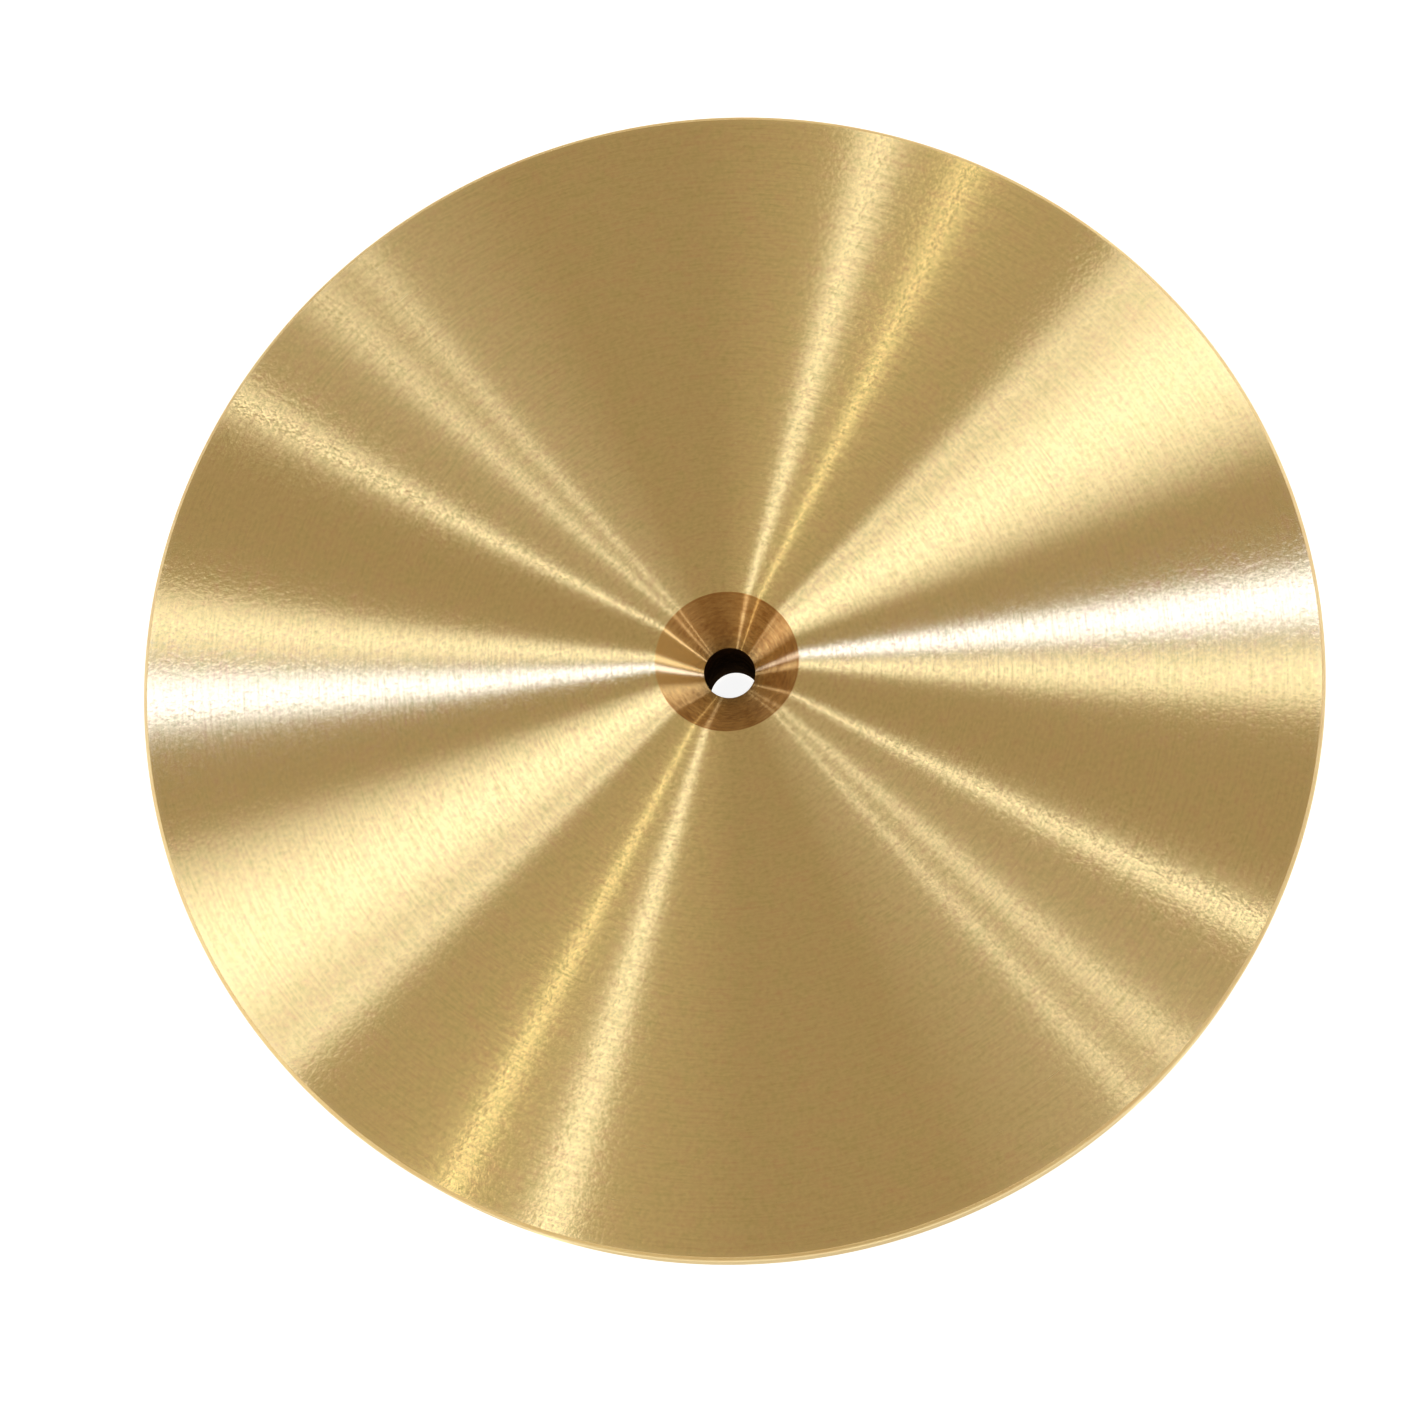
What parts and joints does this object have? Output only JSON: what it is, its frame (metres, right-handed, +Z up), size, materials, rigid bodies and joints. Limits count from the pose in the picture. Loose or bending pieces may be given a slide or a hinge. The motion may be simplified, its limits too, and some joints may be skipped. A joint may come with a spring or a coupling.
{
  "type": "crotale",
  "caption": "Thick flat turned brass percussion disc (crotale, antique cymbal) with a countersunk centre bore and a mounting boss underneath.",
  "frame": {"origin": "middle of the boss's foot, on the disc's axis, where the part rests", "axes": "+Z up along the disc's axis, out of the flat playing face; +X and +Y are free, because the part is a solid of revolution"},
  "size_m": [0.14, 0.14, 0.0174],
  "materials": {
    "turned_brass": "satin, lathe-turned in fine concentric lines, unlacquered"
  },
  "bodies": {
    "root": {"crotale_disc": "turned_brass"}
  },
  "joints": []
}
